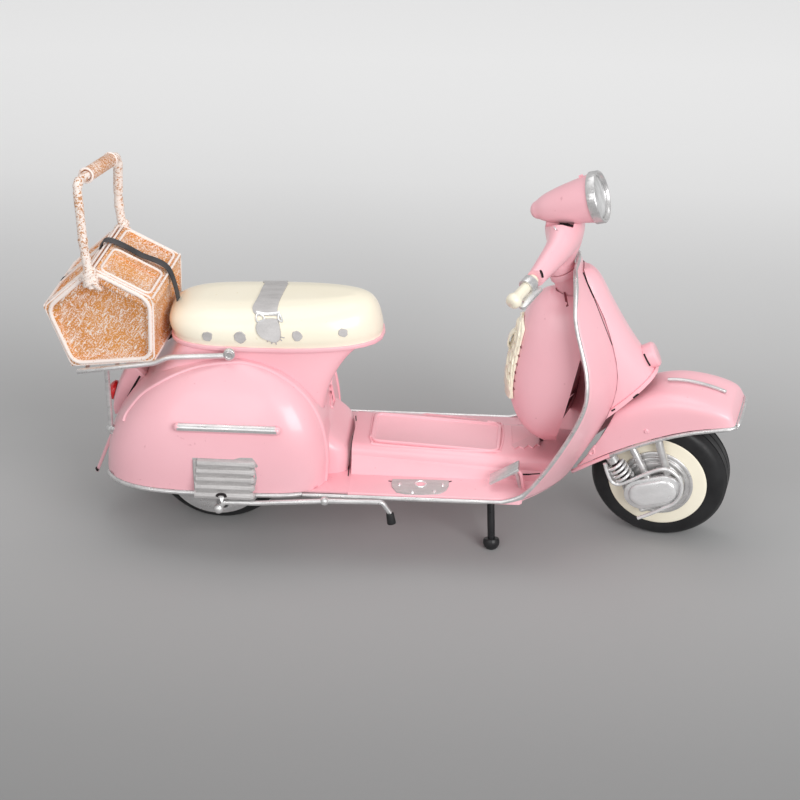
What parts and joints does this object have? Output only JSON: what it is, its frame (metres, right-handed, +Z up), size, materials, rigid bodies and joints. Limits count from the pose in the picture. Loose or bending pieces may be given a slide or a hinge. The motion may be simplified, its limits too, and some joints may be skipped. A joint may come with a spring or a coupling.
{
  "type": "toy motor scooter",
  "caption": "Tin step-through motor scooter model with a picnic basket on its rear rack, a steering front end, turning wheels and a fold-up centre stand.",
  "frame": {"origin": "on the ground under the middle of the scooter", "axes": "+X forward to the headlamp, +Y to the rider's left, +Z up"},
  "size_m": [0.2726, 0.0898, 0.1555],
  "materials": {
    "pink_paint": "gloss",
    "cream_paint": "satin",
    "silver_paint": "satin",
    "black_paint": "satin",
    "black_rubber": "matte",
    "tyre": "matte",
    "basket_wood": "matte",
    "elastic": "matte",
    "red_lens": "gloss",
    "lamp_lens": "gloss"
  },
  "bodies": {
    "frame": {"rear_body": "pink_paint", "right_cowl": "pink_paint", "left_cowl": "pink_paint", "right_cowl_trim": "silver_paint", "left_cowl_trim": "silver_paint", "engine_grille": "silver_paint", "engine_plate": "silver_paint", "rear_axle": "silver_paint", "kick_lever": "silver_paint", "kick_rubber": "black_rubber", "seat_pan": "pink_paint", "seat_cover": "cream_paint", "seat_strap": "silver_paint", "seat_studs": "silver_paint", "floor_pan": "pink_paint", "floor_mat": "pink_paint", "floor_plate": "silver_paint", "brake_pedal": "silver_paint", "leg_shield": "pink_paint", "edge_trim": "silver_paint", "front_cover": "pink_paint", "horn": "pink_paint", "glove_box": "pink_paint", "glove_box_panel": "cream_paint", "glove_box_knob": "cream_paint", "head_tube": "pink_paint", "tail_lamp": "pink_paint", "tail_lens": "red_lens", "rear_flap": "pink_paint", "right_rack_rail": "silver_paint", "left_rack_rail": "silver_paint", "rack_crossbars": "silver_paint", "basket_body": "basket_wood", "basket_lids": "basket_wood", "basket_handle": "basket_wood", "handle_wrap": "basket_wood", "basket_strap": "elastic", "stand_bracket": "black_paint"},
    "steering": {"fork_stem": "silver_paint", "headset": "pink_paint", "headlamp_shell": "pink_paint", "headlamp_rim": "silver_paint", "headlamp_lens": "lamp_lens", "right_grip": "cream_paint", "left_grip": "cream_paint", "right_lever": "silver_paint", "left_lever": "silver_paint", "front_fender": "pink_paint", "fender_trim": "silver_paint", "front_spring": "silver_paint", "hub_link": "silver_paint", "front_axle": "silver_paint"},
    "front_wheel": {"front_tyre": "tyre", "front_rim": "cream_paint", "front_drum": "silver_paint"},
    "rear_wheel": {"rear_tyre": "tyre", "rear_rim": "silver_paint"},
    "stand": {"stand_frame": "black_paint", "stand_feet": "black_paint"}
  },
  "joints": [
    {"name": "steering_turn", "type": "hinge", "parent": "frame", "child": "steering", "pos_m": [0.068, 0, 0.1], "axis": [-0.3907, 0, 0.9205], "range_deg": [-9, 31]},
    {"name": "front_wheel_spin", "type": "hinge", "parent": "steering", "child": "front_wheel", "pos_m": [0.10392, -0.00089, 0.02709], "axis": [0.1756, 0.9816, 0.0746], "continuous": true},
    {"name": "rear_wheel_spin", "type": "hinge", "parent": "frame", "child": "rear_wheel", "pos_m": [-0.072, 0, 0.027], "axis": [0, 1, 0], "continuous": true},
    {"name": "stand_fold", "type": "hinge", "parent": "frame", "child": "stand", "pos_m": [0.0369, 0, 0.0258], "axis": [0, 1, 0], "range_deg": [0, 80]}
  ]
}
